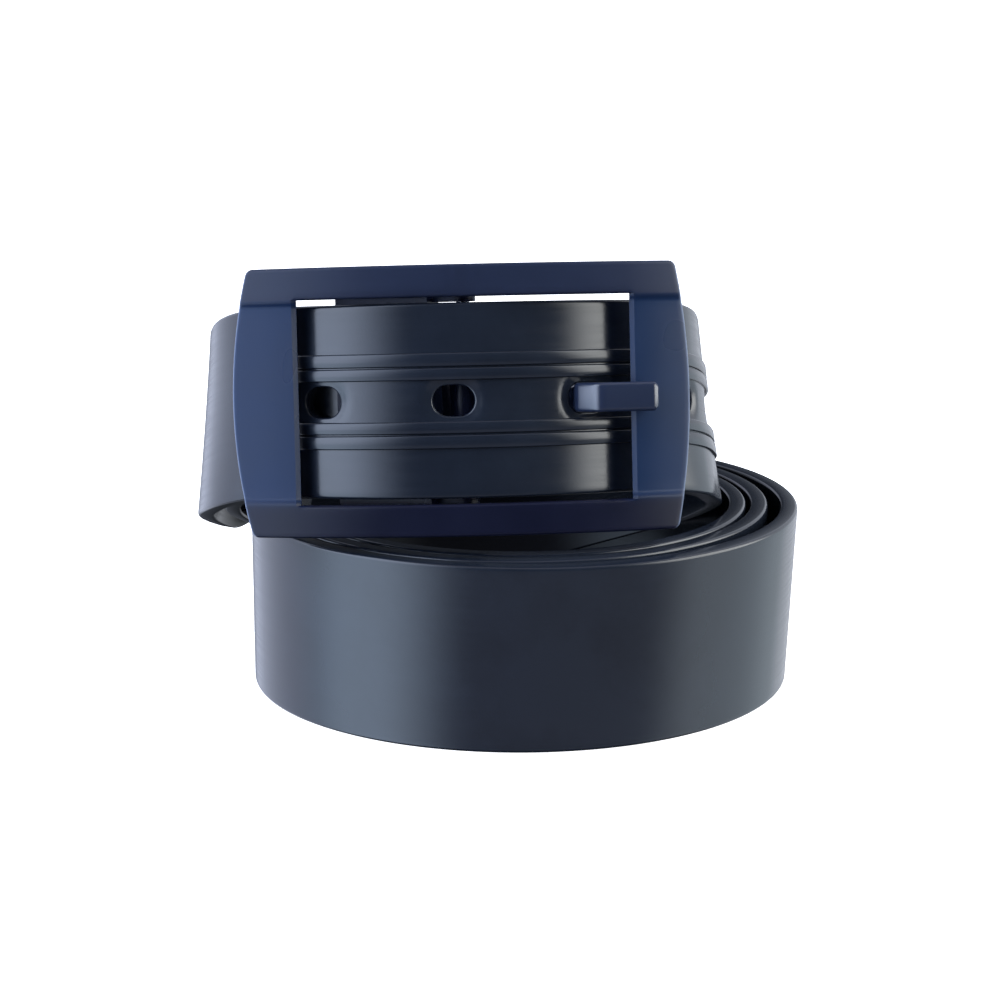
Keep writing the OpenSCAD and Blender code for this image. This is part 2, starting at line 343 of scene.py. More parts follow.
path_t = np.arange(PATH_START, PATH_END + 0.01, 0.25)
path_s = lengths_along(path_at(path_t))
hole_s = np.interp([hole_turn(i) for i in range(HOLES)], path_t, path_s)
rib_from, rib_to = np.interp([RIB_START_TURN, RIB_END_TURN], path_t, path_s)


def strap_columns():
    """Places along the strap of its sections: coarse on the plain part, fine and even past the holes."""
    tip_from = np.interp(PATH_END - TIP_TURN, path_t, path_s)
    low = -math.ceil((hole_s[0] - rib_from) / CELL) - 2
    high = math.ceil((rib_to - hole_s[0]) / CELL) + 2
    fine = hole_s[0] + CELL * np.arange(low, high + 1)
    before = np.linspace(0, fine[0], int(fine[0] / 2.1))[:-1]
    after = np.linspace(fine[-1], tip_from, int((tip_from - fine[-1]) / 1.75))[1:]
    tip = tip_from + (path_s[-1] - tip_from) * sin(np.linspace(0, 90, 17)[1:])
    return np.concatenate([before, fine, after, tip])


def patch_ring(columns, rows):
    """Grid places round a hole's patch, as (column, row) pairs from the middle of its right side."""
    c0, c1, r0, r1 = columns[0], columns[-1], rows[0], rows[-1]
    middle = len(rows) // 2
    ring = [(c1, r) for r in rows[middle:]]
    ring += [(c, r1) for c in reversed(columns[:-1])]
    ring += [(c0, r) for r in reversed(rows[:-1])]
    ring += [(c, r0) for c in columns[1:]]
    ring += [(c1, r) for r in rows[1:middle]]
    return ring


def outline_of_hole(s, v, centre, proud):
    """The points of a hole's outline, let out all round, nearest to the points given."""
    axis = np.clip(s - centre, HOLE_HALF_H - HOLE_HALF_L, HOLE_HALF_L - HOLE_HALF_H)
    d = unit(np.stack([s - centre - axis, v], -1))
    return centre + axis + d[:, 0] * (HOLE_HALF_H + proud), d[:, 1] * (HOLE_HALF_H + proud)


def hole_rings(s, v, centre, side):
    """Rings of (along, across, out) points from the edge of a hole's patch, over the hole's
    rounded edge, to its wall: on the front for side 1 and on the back for side -1."""
    def face_depth(along, across):
        return front_depth(along, across, 0) if side > 0 else np.full(len(along), STRAP_T / 2)

    edge_s, edge_v = outline_of_hole(s, v, centre, HOLE_EDGE_R)
    rings = []
    for share in (0.75, 0.5, 0.28, 0.12) if side > 0 else (0.5,):
        ring_s, ring_v = mix(edge_s, s, share), mix(edge_v, v, share)
        rings.append((ring_s, ring_v, side * face_depth(ring_s, ring_v)))
    for a in (0, 30, 60, 90):
        ring_s, ring_v = outline_of_hole(s, v, centre, HOLE_EDGE_R * (1 - sin(a)))
        depth = face_depth(ring_s, ring_v) - HOLE_EDGE_R * (1 - cos(a))
        rings.append((ring_s, ring_v, side * depth))
    return [np.stack(ring, -1) for ring in rings]


def build_strap():
    """The strap's skin: sections along the path, with a patch of rings round each hole."""
    section, front_rows, back_rows = strap_section()
    s_of = strap_columns()
    n_cols, n_rows = len(s_of), len(section)
    s = np.repeat(s_of, n_rows)
    v = np.tile(section[:, 0], n_cols)
    n = np.tile(section[:, 1], n_cols)
    is_front = n >= STRAP_T / 2 - 1e-6
    n = np.where(is_front, front_depth(s, v, np.tile(section[:, 2], n_cols)), n)
    grid = np.stack([s, v, n], -1)
    holes_at = [int(np.argmin(np.abs(s_of - c))) for c in hole_s]
    in_patch = set()
    for c in holes_at:
        for i in range(c - PATCH_COLUMNS, c + PATCH_COLUMNS):
            in_patch.update((i, r) for r in front_rows[:-1] + back_rows[:-1])
    faces = []
    for i in range(n_cols - 1):
        for r in range(n_rows):
            if (i, r) not in in_patch:
                q = (r + 1) % n_rows
                faces.append((i * n_rows + r, i * n_rows + q, (i + 1) * n_rows + q, (i + 1) * n_rows + r))
    faces.append(tuple(range(n_rows)))
    faces.append(tuple((n_cols - 1) * n_rows + r for r in range(n_rows)))

    places, count = [grid], len(grid)
    for c, centre in zip(holes_at, s_of[holes_at]):
        columns = list(range(c - PATCH_COLUMNS, c + PATCH_COLUMNS + 1))
        loops = []
        for rows, side in ((front_rows, 1), (back_rows[::-1], -1)):
            on_grid = np.array([i * n_rows + r for i, r in patch_ring(columns, rows)])
            side_loops = [on_grid]
            for ring in hole_rings(grid[on_grid, 0], grid[on_grid, 1], centre, side):
                places.append(ring)
                side_loops.append(np.arange(count, count + len(ring)))
                count += len(ring)
            loops.append(side_loops)
        chain = loops[0] + loops[1][::-1]
        for a, b in zip(chain[:-1], chain[1:]):
            m = len(a)
            faces += [(a[j], a[(j + 1) % m], b[(j + 1) % m], b[j]) for j in range(m)]
    flat = np.concatenate(places)
    end = np.clip((flat[:, 0] - (path_s[-1] - TIP_EDGE)) / TIP_EDGE, 0, 1)
    thin = np.sqrt(1 - (0.9 * end) ** 2)
    obj = new_object("strap_body", strap_points(flat[:, 0], flat[:, 1], flat[:, 2] * thin), faces)
    where = obj.data.attributes.new("strap_place", "FLOAT_VECTOR", "POINT")
    where.data.foreach_set("vector", flat.astype(np.float32).ravel())
    smooth(obj, 38)
    return obj


# ---------------------------------------------------------------- the buckle's frame
LEFT_W = 42.35  # from the middle to the left side
RIGHT_W = 40.85
LEFT_BULGE = 3.3
RIGHT_BULGE = 2.5
FRAME_H = 48.6
FRAME_T = 3.5
FRAME_R = 90.0  # bow of the frame's front
FRAME_FRONT = -1.0  # from the strap's outer face to the frame's front
WINDOW_W = 60.0
WINDOW_H = 37.0
BAR_RECESS = 0.75  # the side bars lie this far behind the rails
BAR_T = 2.4
SUNK_REACH = 1.5
EDGE_CUT = 0.85  # chamfers of the side bars at the window, front and back
BACK_CUT = 1.2
RIM = 0.55  # roundings of the outer edge, its corners and the rails' window edge
CORNER_R = 1.1
RAIL_EDGE = 0.6
PIN_D = 2.4
LUG_R = 3.2
LUG_IN = 20.5  # from the buckle's middle to the inner face of a lug
LUG_TOP_IN = 0.3  # the lugs stop this far short of the frame's top and bottom
LUG_FOOT = 1.2  # depth at which the lugs sink into the rails
BORE_FIT = 0.01
RUN_GAP = 0.05  # round the pin, in the pieces that turn on it
HIGHLIGHT_REACH = 0.4  # width of the painted highlight along each side
TOP_GLOW = 0.15  # painted light from above: the top rail has a little painted glow and painted highlight, so it is bluer and lighter than the bottom one
TOP_SHEEN = 0.085


def in_buckle(points):
    """From the buckle's own x right, y back, z up to the row frame."""
    p = np.asarray(points, float)
    return BUCKLE_AT + p[:, :1] * U_DIR + p[:, 1:2] * BACK_DIR + p[:, 2:] * V_DIR


def rounding(distance, r):
    """Drop of a face towards an edge rounded by r, at a distance from the edge."""
    x = np.clip(r - distance, 0, r)
    return r - np.sqrt(r * r - x * x)


def frame_side(z, left):
    """Distance of one side from the middle at a height: it bulges a little and its corners are rounded."""
    width, bulge = (LEFT_W, LEFT_BULGE) if left else (RIGHT_W, RIGHT_BULGE)
    side_r = (FRAME_H ** 2 / 4 + bulge ** 2) / (2 * bulge)
    return width - side_r + np.sqrt(side_r ** 2 - z ** 2) - rounding(FRAME_H / 2 - np.abs(z), CORNER_R)


def frame_face(x, z, back):
    """Depth of the frame's front or back face."""
    bar = (np.abs(x) >= WINDOW_W / 2) & (np.abs(z) <= WINDOW_H / 2)
    sunk = ease((WINDOW_H / 2 - np.abs(z)) / SUNK_REACH) * bar
    side = np.where(x < 0, frame_side(z, True), frame_side(z, False)) - np.abs(x)
    rim = np.hypot(np.clip(RIM - side, 0, RIM), np.clip(RIM - (FRAME_H / 2 - np.abs(z)), 0, RIM))
    rim = RIM - np.sqrt(np.maximum(RIM ** 2 - rim ** 2, 0))
    window = np.where(bar, np.abs(x) - WINDOW_W / 2, np.abs(z) - WINDOW_H / 2)
    in_rail = (np.abs(x) <= WINDOW_W / 2) & ~bar
    cut = BACK_CUT if back else EDGE_CUT
    soft = np.where(bar, np.maximum(cut - window, 0), rounding(np.maximum(window, 0), RAIL_EDGE) * in_rail)
    r = FRAME_R - (FRAME_T if back else 0)
    curve = FRAME_FRONT + FRAME_R - np.sqrt(r * r - x * x)
    if back:
        return curve - (FRAME_T - BAR_RECESS - BAR_T) * sunk - rim - soft
    return curve + BAR_RECESS * sunk + rim + soft


def frame_columns(z):
    """Places across the frame at a height, left to right, and how many are on one side bar."""
    near = WINDOW_W / 2 + np.array([0, EDGE_CUT / 2, EDGE_CUT, BACK_CUT, 2.4, 3.6, 4.8, 6.0])
    from_side = np.array([2.0, 1.1, RIM, 0.33, 0.16, 0.05, 0])
    left = np.concatenate([near, frame_side(z, True) - from_side])
    right = np.concatenate([near, frame_side(z, False) - from_side])
    rail = np.linspace(-WINDOW_W / 2, WINDOW_W / 2, 30)[1:-1]
    return np.concatenate([-left[::-1], rail, right]), len(right)


def frame_rows():
    """Heights of the frame's rows, bottom to top, closer together at its edges."""
    half = WINDOW_H / 2
    bar = list(np.linspace(0, half - SUNK_REACH, 9))
    bar += list(half - SUNK_REACH + SUNK_REACH * np.arange(1, 9) / 8)
    rail = [half + d for d in (0.07, 0.18, 0.36, RAIL_EDGE, 1.6, 3.0, 4.2)]
    top = [FRAME_H / 2 - d for d in (CORNER_R, 0.8, RIM, 0.33, 0.16, 0.05, 0)]
    rows = bar + rail + top
    return np.array([-z for z in reversed(rows[1:])] + rows)


def mark(obj, name, values):
    """Puts one value on each point, for the material."""
    layer = obj.data.attributes.new(name, "FLOAT", "POINT")
    layer.data.foreach_set("value", values.astype(np.float32))


def mark_frame(frame_obj, px, pz, is_front):
    """Marks the painted highlight along the sides, the painted glow of the thin side bars and the painted
    glow and highlight of the top rail, lit from above.
    """
    side_x = np.where(px < 0, frame_side(pz, True), frame_side(pz, False))
    near_side = 1 - ease((side_x - np.abs(px)) / HIGHLIGHT_REACH)
    is_side = (np.abs(pz) < FRAME_H / 2 - 0.3) & is_front
    in_top = ease((pz - WINDOW_H / 2 + 1) / 2)
    bar_glow = ease((WINDOW_H / 2 + 1 - np.abs(pz)) / 2.5) * (np.abs(px) > WINDOW_W / 2 - 0.01)
    mark(frame_obj, "painted_highlight", np.maximum(near_side * is_side, TOP_SHEEN * in_top))
    mark(frame_obj, "painted_glow", np.maximum(bar_glow, TOP_GLOW * in_top))


def build_frame():
    """Front and back skins on one grid, open at the window, joined by walls at every open edge."""
    rows = frame_rows()
    grid = [frame_columns(z) for z in rows]
    n_bar = grid[0][1]
    x = np.array([g[0] for g in grid])
    z = np.repeat(rows[:, None], x.shape[1], 1)
    n_rows, n_cols = x.shape
    front = np.stack([x, frame_face(x, z, False), z], -1).reshape(-1, 3)
    back = np.stack([x, frame_face(x, z, True), z], -1).reshape(-1, 3)
    n = len(front)
    edges, faces = {}, []
    for j in range(n_rows - 1):
        for i in range(n_cols - 1):
            open_cell = n_bar - 1 <= i < n_cols - n_bar and abs(rows[j] + rows[j + 1]) / 2 < WINDOW_H / 2
            if open_cell:
                continue
            a, b = j * n_cols + i, (j + 1) * n_cols + i
            faces.append((a, a + 1, b + 1, b))
            faces.append((n + a, n + b, n + b + 1, n + a + 1))
            for e in ((a, a + 1), (a + 1, b + 1), (b + 1, b), (b, a)):
                key = tuple(sorted(e))
                edges[key] = None if key in edges else e
    faces += [(e[1], e[0], n + e[0], n + e[1]) for e in edges.values() if e]
    used = sorted({i for f in faces for i in f})
    number = {old: new for new, old in enumerate(used)}
    points = np.concatenate([front, back])[used]
    faces = [tuple(number[i] for i in f) for f in faces]
    frame_obj = new_object("buckle_frame_body", in_buckle(points), faces)
    on_grid = [i % n for i in used]
    mark_frame(frame_obj, x.ravel()[on_grid], z.ravel()[on_grid], np.array(used) < n)
    for s in (-1, 1):
        join(frame_obj, lug_block(s), "UNION")
    bore = rod("bore", [0, PIN_DEPTH], PIN_D / 2 + BORE_FIT, FRAME_H + 2, 0, in_buckle)
    join(frame_obj, bore, "DIFFERENCE")
    smooth(frame_obj, 32)
    return frame_obj


def join(target, tool, operation):
    """Boolean of two closed meshes, applied; the tool object goes."""
    m = target.modifiers.new("join", "BOOLEAN")
    m.operation = operation
    m.solver = "EXACT"
    m.object = tool
    bake_modifiers(target)
    bpy.data.objects.remove(tool)


def bake_modifiers(obj):
    """The object's modifiers become part of its mesh."""
    graph = bpy.context.evaluated_depsgraph_get()
    mesh = bpy.data.meshes.new_from_object(obj.evaluated_get(graph))
    obj.modifiers.clear()
    obj.data = mesh


def prism(name, outline, low, high, place, edge=0.0):
    """Upright prism on an outline in x and y, with its rims rounded by edge."""
    outline = np.asarray(outline, float)
    n = len(outline)
    verts = [(x, y, z) for z in (low, high) for x, y in outline]
    faces = [tuple(range(n)), tuple(range(n, 2 * n))]
    faces += [(i, (i + 1) % n, n + (i + 1) % n, n + i) for i in range(n)]
    obj = new_object(name, place(verts), faces)
    if edge:
        m = obj.modifiers.new("edge", "BEVEL")
        m.width = edge * MM
        m.segments = 3
        m.limit_method = "ANGLE"
        m.angle_limit = math.radians(40)
        bake_modifiers(obj)
    return obj


def rod(name, at, r, length, edge, place, sides=48):
    """Upright rod centred on a point in x and y."""
    ring = [(at[0] + r * cos(a), at[1] + r * sin(a)) for a in np.linspace(0, 360, sides, endpoint=False)]
    return prism(name, ring, -length / 2, length / 2, place, edge)


def lug_block(s):
    """Ear behind a rail that holds one end of the hinge pin."""
    arc = [(LUG_R * cos(a), PIN_DEPTH + LUG_R * sin(a)) for a in np.linspace(0, 180, 25)]
    outline = arc + [(-LUG_R, LUG_FOOT), (LUG_R, LUG_FOOT)]
    low, high = sorted((s * (LUG_IN + 0.1), s * (FRAME_H / 2 - LUG_TOP_IN)))
    return prism("lug", outline, low, high, in_buckle, 0.35)


# ---------------------------------------------------------------- the prong
# Its middle line from above: knuckle, arm, back bend, neck, front bend, tip; with the bends' radii
PRONG_LINE = np.array([[0, PIN_DEPTH], [15.5, 11.4], [19.6, 11.5], [21.0, 4.9], [24.4, 1.9], [34.6, 4.2]])
PRONG_BENDS = [0, 6.0, 2.0, 1.2, 1.6, 0]
NECK = 3
PRONG_T = 2.4
PRONG_W = 5.3
PRONG_NECK_W = 4.6
PRONG_EDGE_R = 0.75
PRONG_TIP_R = 0.7
WIDENING = 3.0  # length over which the prong widens before its neck
PRONG_STEP = 0.5
CORNER_POINTS = 6
KNUCKLE_L = 12.0
KNUCKLE_R = 2.6


def rounded_path(corners, radii, steps=10):
    """Points along straight runs joined by arcs."""
    points = [corners[0]]
    for i in range(1, len(corners) - 1):
        a, b, c = corners[i - 1], corners[i], corners[i + 1]
        into, away = unit(a - b), unit(c - b)
        half = math.acos(float(np.clip(into @ away, -1, 1))) / 2
        longest = 0.48 * min(np.linalg.norm(a - b), np.linalg.norm(c - b))
        reach_of = min(radii[i] / math.tan(half), longest)
        r = reach_of * math.tan(half)
        centre = b + unit(into + away) * r / math.sin(half)
        first, last = b + into * reach_of - centre, b + away * reach_of - centre
        a0 = math.atan2(first[1], first[0])
        turn = (math.atan2(last[1], last[0]) - a0 + math.pi) % (2 * math.pi) - math.pi
        points += [centre + r * np.array([math.cos(a0 + turn * k), math.sin(a0 + turn * k)])
                   for k in np.linspace(0, 1, steps)]
    points.append(corners[-1])
    return np.array(points)


def filled_in(line, step_length):
    """The line with points added so that none are much further apart than the step."""
    dense = [line[0]]
    for a, b in zip(line[:-1], line[1:]):
        n = max(1, int(np.linalg.norm(b - a) / step_length))
        dense += [mix(a, b, (k + 1) / n) for k in range(n)]
    return np.array(dense)


def build_prong():
    """A bar with rounded corners swept along the prong's line, and its knuckle on the pin."""
    line = filled_in(rounded_path(PRONG_LINE, PRONG_BENDS), PRONG_STEP)
    s = lengths_along(line)
    d = unit(np.gradient(line, axis=0))
    side = np.stack([d[:, 1], -d[:, 0]], -1)
    neck_s = s[np.argmin(np.linalg.norm(line - PRONG_LINE[NECK], axis=1))]
    half_w = mix(PRONG_NECK_W, PRONG_W, ease((s - neck_s + WIDENING) / WIDENING)) / 2
    tip = np.clip((s - s[-1] + PRONG_TIP_R) / PRONG_TIP_R, 0, 1)
    shrink = PRONG_TIP_R * (1 - np.sqrt(1 - (0.96 * tip) ** 2))
    verts = []
    for k in range(len(line)):
        w, h = half_w[k] - shrink[k], PRONG_T / 2 - shrink[k] * 0.8
        c = min(PRONG_EDGE_R, 0.9 * h)
        for q, (sx, sy) in enumerate(((1, 1), (-1, 1), (-1, -1), (1, -1))):
            for a in np.linspace(0, 90, CORNER_POINTS):
                x = sx * (w - c) + c * cos(a + 90 * q)
                y = sy * (h - c) + c * sin(a + 90 * q)
                verts.append((*(line[k] + side[k] * y), x))
    m = 4 * CORNER_POINTS
    faces = [(k * m + i, k * m + (i + 1) % m, (k + 1) * m + (i + 1) % m, (k + 1) * m + i)
             for k in range(len(line) - 1) for i in range(m)]
    faces += [tuple(range(m)), tuple((len(line) - 1) * m + i for i in range(m))]
    obj = new_object("prong_body", in_buckle(verts), faces)
    join(obj, rod("knuckle", PRONG_LINE[0], KNUCKLE_R, KNUCKLE_L, 0.4, in_buckle), "UNION")
    join(obj, rod("bore", PRONG_LINE[0], PIN_D / 2 + RUN_GAP, KNUCKLE_L + 2, 0, in_buckle), "DIFFERENCE")
    smooth(obj, 35)
    return obj


# ---------------------------------------------------------------- materials
RUBBER_LOW = (0.0110, 0.0150, 0.0245)
RUBBER_HIGH = (0.0140, 0.0190, 0.0305)
RUBBER_BACK_SHADE = (0.0050, 0.0065, 0.0100)
BACK_SHADE_FROM = 1.2  # depth from the strap's middle at which its back starts to get painted shade, darker and less glossy
THICK_LOW = (0.0065, 0.0080, 0.0220)
THICK_HIGH = (0.0095, 0.0115, 0.0300)
GLOW_LOW = (0.0055, 0.0220, 0.0700)
GLOW_HIGH = (0.0080, 0.0270, 0.0840)
HIGHLIGHT_COLOUR = (0.17, 0.215, 0.33)
SEEN_THROUGH = (0.30, 0.38, 0.55)
SCATTERED = (0.16, 0.24, 0.50)
SHARE_THROUGH = 0.16
PLASTIC_IOR = 1.45
STEEL_LOW = (0.44, 0.45, 0.47)
STEEL_HIGH = (0.60, 0.61, 0.63)


def start_material(name):
    mat = bpy.data.materials.new(name)
    mat.use_nodes = True
    tree = mat.node_tree
    tree.nodes.clear()
    shader = tree.nodes.new("ShaderNodeBsdfPrincipled")
    output = tree.nodes.new("ShaderNodeOutputMaterial")
    tree.links.new(shader.outputs[0], output.inputs[0])
    return mat, tree, shader


def blend_colour(tree, factor, a, b):
    """Colour between a and b, each given as numbers or as a socket."""
    c = tree.nodes.new("ShaderNodeMix")
    c.data_type = "RGBA"
    tree.links.new(factor, c.inputs["Factor"])
    for socket, value in ((c.inputs["A"], a), (c.inputs["B"], b)):
        if isinstance(value, tuple):
            socket.default_value = (*value, 1)
        else:
            tree.links.new(value, socket)
    return c.outputs["Result"]


def ramp(tree, source, low, high, a, b):
    """Colour or value that goes from a to b as the source goes from low to high."""
    m = tree.nodes.new("ShaderNodeMapRange")
    m.interpolation_type = "SMOOTHSTEP"
    m.inputs["From Min"].default_value = low
    m.inputs["From Max"].default_value = high
    tree.links.new(source, m.inputs["Value"])
    if isinstance(a, (int, float)):
        m.inputs["To Min"].default_value = a
        m.inputs["To Max"].default_value = b
        return m.outputs[0]
    return blend_colour(tree, m.outputs[0], a, b)


def noise(tree, vector, scale, detail=3.0, roughness=0.55):
    n = tree.nodes.new("ShaderNodeTexNoise")
    n.inputs["Scale"].default_value = scale
    n.inputs["Detail"].default_value = detail
    n.inputs["Roughness"].default_value = roughness
    tree.links.new(vector, n.inputs["Vector"])
    return n.outputs["Fac"]


def stretched(tree, vector, scale):
    m = tree.nodes.new("ShaderNodeMapping")
    m.inputs["Scale"].default_value = scale
    tree.links.new(vector, m.inputs["Vector"])
    return m.outputs[0]


def bump(tree, height, strength, distance, under=None):
    b = tree.nodes.new("ShaderNodeBump")
    b.inputs["Strength"].default_value = strength
    b.inputs["Distance"].default_value = distance * MM
    tree.links.new(height, b.inputs["Height"])
    if under is not None:
        tree.links.new(under, b.inputs["Normal"])
    return b.outputs["Normal"]


def place_of(tree):
    return tree.nodes.new("ShaderNodeTexCoord").outputs["Object"]


def attribute(tree, name, output="Fac"):
    n = tree.nodes.new("ShaderNodeAttribute")
    n.attribute_name = name
    return n.outputs[output]


def more(tree, value, extra):
    """The value with a fixed amount added."""
    m = tree.nodes.new("ShaderNodeMath")
    m.operation = "ADD"
    m.inputs[1].default_value = extra
    tree.links.new(value, m.inputs[0])
    return m.outputs[0]


def mixed_shader(tree, share, first, second):
    """Output of two shaders mixed, with this share of the second."""
    m = tree.nodes.new("ShaderNodeMixShader")
    m.inputs[0].default_value = share
    tree.links.new(first, m.inputs[1])
    tree.links.new(second, m.inputs[2])
    return m.outputs[0]


def rubber_material():
    """Satin rubber, brushed along the strap; its back face, towards the coil's inside, is painted darker and
    less glossy as painted shade.
    """
    mat, tree, shader = start_material("strap_rubber")
    where = attribute(tree, "strap_place", "Vector")
    streaks = noise(tree, stretched(tree, where, (0.05, 2.0, 1.0)), 1.0, 3.0, 0.5)
    grain = noise(tree, place_of(tree), 2600.0, 2.0)
    blotch = noise(tree, place_of(tree), 55.0, 4.0)
    depth = tree.nodes.new("ShaderNodeSeparateXYZ")
    tree.links.new(where, depth.inputs[0])
    # painted shade: the back face, seen inside the coil and through the holes, is darker and less glossy
    back_shade = ramp(tree, depth.outputs["Z"], -BACK_SHADE_FROM, -STRAP_T / 2, 0.0, 1.0)
    colour = blend_colour(tree, back_shade, ramp(tree, blotch, 0.35, 0.65, RUBBER_LOW, RUBBER_HIGH), RUBBER_BACK_SHADE)
    tree.links.new(colour, shader.inputs["Base Color"])
    tree.links.new(ramp(tree, back_shade, 0, 1, 0.5, 0.12), shader.inputs["Specular IOR Level"])
    tree.links.new(ramp(tree, streaks, 0.3, 0.7, 0.17, 0.23), shader.inputs["Roughness"])
    fine = bump(tree, grain, 0.25, 0.025)
    tree.links.new(bump(tree, streaks, 0.16, 0.04, fine), shader.inputs["Normal"])
    return mat


def plastic_material(name, smoothest, roughest, gloss, glow, sheen):
    """Frosted plastic: a dark blue body, with a bluer painted glow where it is thin, as if lit through, and a
    lighter painted highlight along its side edges, with a small share of light let through it, scattered and
    straight. Glow and sheen paint that much more glow and highlight over the whole piece."""
    mat, tree, shader = start_material(name)
    speckle = noise(tree, place_of(tree), 1500.0, 2.0, 0.5)
    cloud = noise(tree, place_of(tree), 90.0, 1.0)
    thick = ramp(tree, cloud, 0.1, 0.9, THICK_LOW, THICK_HIGH)
    # painted glow: the thin parts are bluer and lighter, as if side light shone through them
    thin = ramp(tree, cloud, 0.1, 0.9, GLOW_LOW, GLOW_HIGH)
    body = blend_colour(tree, more(tree, attribute(tree, "painted_glow"), glow), thick, thin)
    # painted highlight: lighter along the side edges, on the top rail and, by sheen, all over
    body = blend_colour(tree, more(tree, attribute(tree, "painted_highlight"), sheen), body, HIGHLIGHT_COLOUR)
    tree.links.new(body, shader.inputs["Base Color"])
    shader.inputs["Specular IOR Level"].default_value = gloss
    rough = ramp(tree, cloud, 0.1, 0.9, smoothest, roughest)
    tree.links.new(rough, shader.inputs["Roughness"])
    surface = bump(tree, speckle, 0.10, 0.02)
    tree.links.new(surface, shader.inputs["Normal"])
    straight = tree.nodes.new("ShaderNodeBsdfRefraction")
    straight.inputs["Color"].default_value = (*SEEN_THROUGH, 1)
    straight.inputs["IOR"].default_value = PLASTIC_IOR
    tree.links.new(rough, straight.inputs["Roughness"])
    tree.links.new(surface, straight.inputs["Normal"])
    scattered = tree.nodes.new("ShaderNodeBsdfTranslucent")
    scattered.inputs["Color"].default_value = (*SCATTERED, 1)
    through = mixed_shader(tree, 0.5, straight.outputs[0], scattered.outputs[0])
    output = next(n for n in tree.nodes if n.type == "OUTPUT_MATERIAL")
    tree.links.new(mixed_shader(tree, SHARE_THROUGH, shader.outputs[0], through), output.inputs[0])
    return mat


def steel_material():
    """Drawn wire, with fine lines across it."""
    mat, tree, shader = start_material("pin_steel")
    lines = noise(tree, stretched(tree, place_of(tree), (900, 900, 9000)), 1.0, 3.0)
    tree.links.new(ramp(tree, lines, 0.3, 0.7, STEEL_LOW, STEEL_HIGH), shader.inputs["Base Color"])
    shader.inputs["Metallic"].default_value = 1.0
    tree.links.new(ramp(tree, lines, 0.3, 0.7, 0.22, 0.38), shader.inputs["Roughness"])
    tree.links.new(bump(tree, lines, 0.2, 0.01), shader.inputs["Normal"])
    return mat


def give(obj, mat):
    obj.data.materials.clear()
    obj.data.materials.append(mat)


def put_in(obj, mat, body, node):
    """Dresses a visual piece and puts it in the place of its CAD piece."""
    give(obj, mat)
    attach(obj, body)
    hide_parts(node)


# ---------------------------------------------------------------- putting the belt together
rubber, steel = rubber_material(), steel_material()
plastic = plastic_material("frosted_plastic", 0.26, 0.34, 0.20, 0.0, 0.0)
# the prong's colour carries painted glow and painted highlight all over, so it looks lighter
polished = plastic_material("polished_plastic", 0.16, 0.24, 0.9, 0.3, 0.09)

put_in(build_strap(), rubber, "belt", "strap")
put_in(build_frame(), plastic, "buckle", "buckle_frame")
prong = build_prong()
put_in(prong, polished, "tongue", "prong")

# The prong's knuckle, behind the strap, is as dull as the frame
prong.data.materials.append(plastic)
for face in prong.data.polygons:
    from_pin = (np.array(face.center) / MM - PIN_AT) @ np.stack([U_DIR, BACK_DIR], -1)
    face.material_index = int(np.hypot(*from_pin) < KNUCKLE_R + 2)

# The small hidden pieces stay as they are in the CAD, with their edges softened
cad_looks = {"clamp_housing": plastic, "clamp_lever": plastic, "hinge_pin": steel, "lever_pin": steel}
for name, mat in cad_looks.items():
    obj = frame["nodes"][name]
    give(obj, mat)
    weld = obj.modifiers.new("weld", "WELD")
    weld.merge_threshold = 0.002 * MM
    flat = obj.modifiers.new("flat", "DECIMATE")
    flat.decimate_type = "DISSOLVE"
    flat.angle_limit = math.radians(1)
    edge = obj.modifiers.new("edge", "BEVEL")
    edge.width = 0.22 * MM
    edge.segments = 3
    edge.limit_method = "ANGLE"
    edge.angle_limit = math.radians(32)


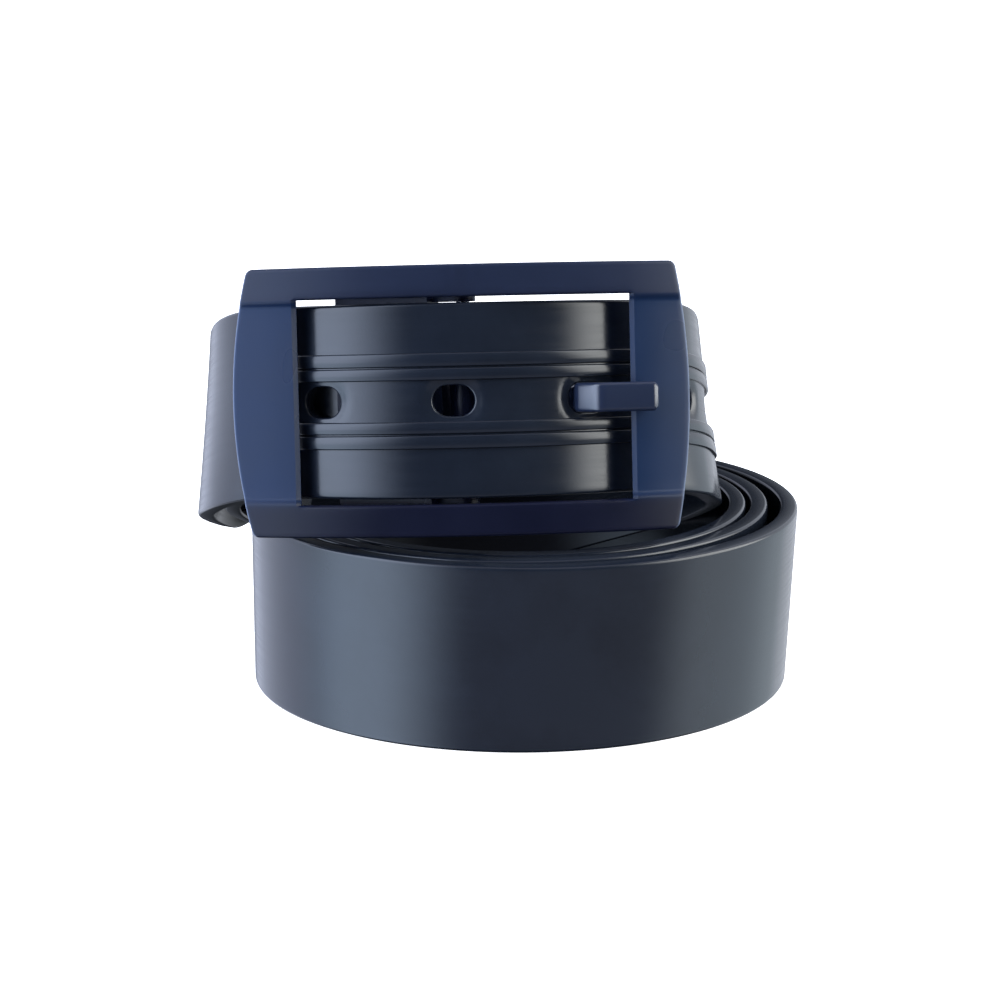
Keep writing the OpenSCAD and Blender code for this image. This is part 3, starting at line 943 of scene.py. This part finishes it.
# ---------------------------------------------------------------- floor, light and camera
def studio_world():
    """Soft boxes of light set by direction: azimuth from the camera's side, positive to the right."""
    world = bpy.data.worlds.new("studio")
    bpy.context.scene.world = world
    world.use_nodes = True
    tree = world.node_tree
    tree.nodes.clear()
    out_node = tree.nodes.new("ShaderNodeOutputWorld")
    direction = tree.nodes.new("ShaderNodeTexCoord").outputs["Generated"]
    xyz = tree.nodes.new("ShaderNodeSeparateXYZ")
    tree.links.new(direction, xyz.inputs[0])

    def math_node(op, a, b=None):
        m = tree.nodes.new("ShaderNodeMath")
        m.operation = op
        for i, value in enumerate((a, b)):
            if value is None:
                continue
            if isinstance(value, (int, float)):
                m.inputs[i].default_value = value
            else:
                tree.links.new(value, m.inputs[i])
        return m.outputs[0]

    azimuth = math_node("ARCTAN2", xyz.outputs["X"], math_node("MULTIPLY", xyz.outputs["Y"], -1))
    elevation = math_node("ARCSINE", xyz.outputs["Z"])

    def window(value, low, high, soft):
        rise = tree.nodes.new("ShaderNodeMapRange")
        fall = tree.nodes.new("ShaderNodeMapRange")
        for m, a, b in ((rise, low - soft, low + soft), (fall, high + soft, high - soft)):
            m.interpolation_type = "SMOOTHSTEP"
            m.inputs["From Min"].default_value = math.radians(a)
            m.inputs["From Max"].default_value = math.radians(b)
            tree.links.new(value, m.inputs["Value"])
        return math_node("MULTIPLY", rise.outputs[0], fall.outputs[0])

    total = None
    for az, el, soft, colour in SOFT_BOXES:
        across = window(azimuth, az[0], az[1], soft[0])
        upright = window(elevation, el[0], el[1], soft[1])
        share = math_node("MULTIPLY", across, upright)
        mixer = tree.nodes.new("ShaderNodeVectorMath")
        mixer.operation = "SCALE"
        mixer.inputs[0].default_value = colour
        tree.links.new(share, mixer.inputs["Scale"])
        if total is None:
            total = mixer.outputs[0]
        else:
            add = tree.nodes.new("ShaderNodeVectorMath")
            add.operation = "ADD"
            tree.links.new(total, add.inputs[0])
            tree.links.new(mixer.outputs[0], add.inputs[1])
            total = add.outputs[0]
    light = tree.nodes.new("ShaderNodeBackground")
    tree.links.new(total, light.inputs["Color"])
    plain = tree.nodes.new("ShaderNodeBackground")
    plain.inputs["Color"].default_value = (1, 1, 1, 1)
    path = tree.nodes.new("ShaderNodeLightPath")
    both = mixed_shader(tree, 0.0, light.outputs[0], plain.outputs[0])
    tree.links.new(path.outputs["Is Camera Ray"], both.node.inputs[0])
    tree.links.new(both, out_node.inputs[0])


# azimuth range, elevation range, softness of both, brightness in red, green and blue
SOFT_BOXES = [
    ((-92, -40), (-45, -2), (20, 6), (2.6, 3.2, 4.0)),
    ((-96, -40), (-2, 55), (18, 6), (3.8, 4.4, 5.6)),
    ((-162, -98), (-45, 60), (12, 12), (1.15, 1.25, 1.55)),
    ((62, 138), (-45, -2), (14, 5), (1.05, 1.2, 1.3)),
    ((54, 110), (-2, 50), (10, 5), (5.8, 5.9, 5.8)),
    ((110, 138), (-2, 60), (8, 5), (1.0, 1.05, 1.15)),
    ((138, 168), (-45, 60), (8, 5), (0.9, 0.95, 1.05)),
    ((-220, 220), (58, 120), (8, 8), (0.5, 0.47, 0.5)),
    ((-60, 90), (-38, -8), (20, 6), (0.24, 0.24, 0.28)),
    ((-220, 220), (-120, 120), (8, 8), (0.04, 0.045, 0.055)),
]
studio_world()

# The floor is seen by the camera only: the belt shows no shadow or reflection of it
FLOOR_HALF = 3000
corners = [(x * FLOOR_HALF, y * FLOOR_HALF, 0) for x, y in ((-1, -1), (1, -1), (1, 1), (-1, 1))]
floor = new_object("floor", corners, [(0, 1, 2, 3)])
floor_mat, _, floor_shader = start_material("floor_white")
floor_shader.inputs["Base Color"].default_value = (0.9, 0.9, 0.9, 1)
floor_shader.inputs["Roughness"].default_value = 1.0
floor_shader.inputs["Specular IOR Level"].default_value = 0.0
floor_shader.inputs["Emission Color"].default_value = (1, 1, 1, 1)
floor_shader.inputs["Emission Strength"].default_value = 0.93
give(floor, floor_mat)
floor.visible_glossy = False
floor.visible_diffuse = False

CAMERA_FROM_COIL = np.array([-4.0, -500.0, 164.2])
LOOK_DOWN = 14.53
SENSOR = 36
camera_data = bpy.data.cameras.new("camera")
camera_data.sensor_width = SENSOR
camera_data.lens = SENSOR * 2.645
camera_data.clip_start = 0.01
camera = bpy.data.objects.new("camera", camera_data)
camera.location = [c * MM for c in COIL_AT + CAMERA_FROM_COIL]
camera.rotation_euler = (math.radians(90 - LOOK_DOWN), 0, 0)
bpy.context.scene.collection.objects.link(camera)
bpy.context.scene.camera = camera
bpy.context.scene.view_settings.view_transform = "Standard"
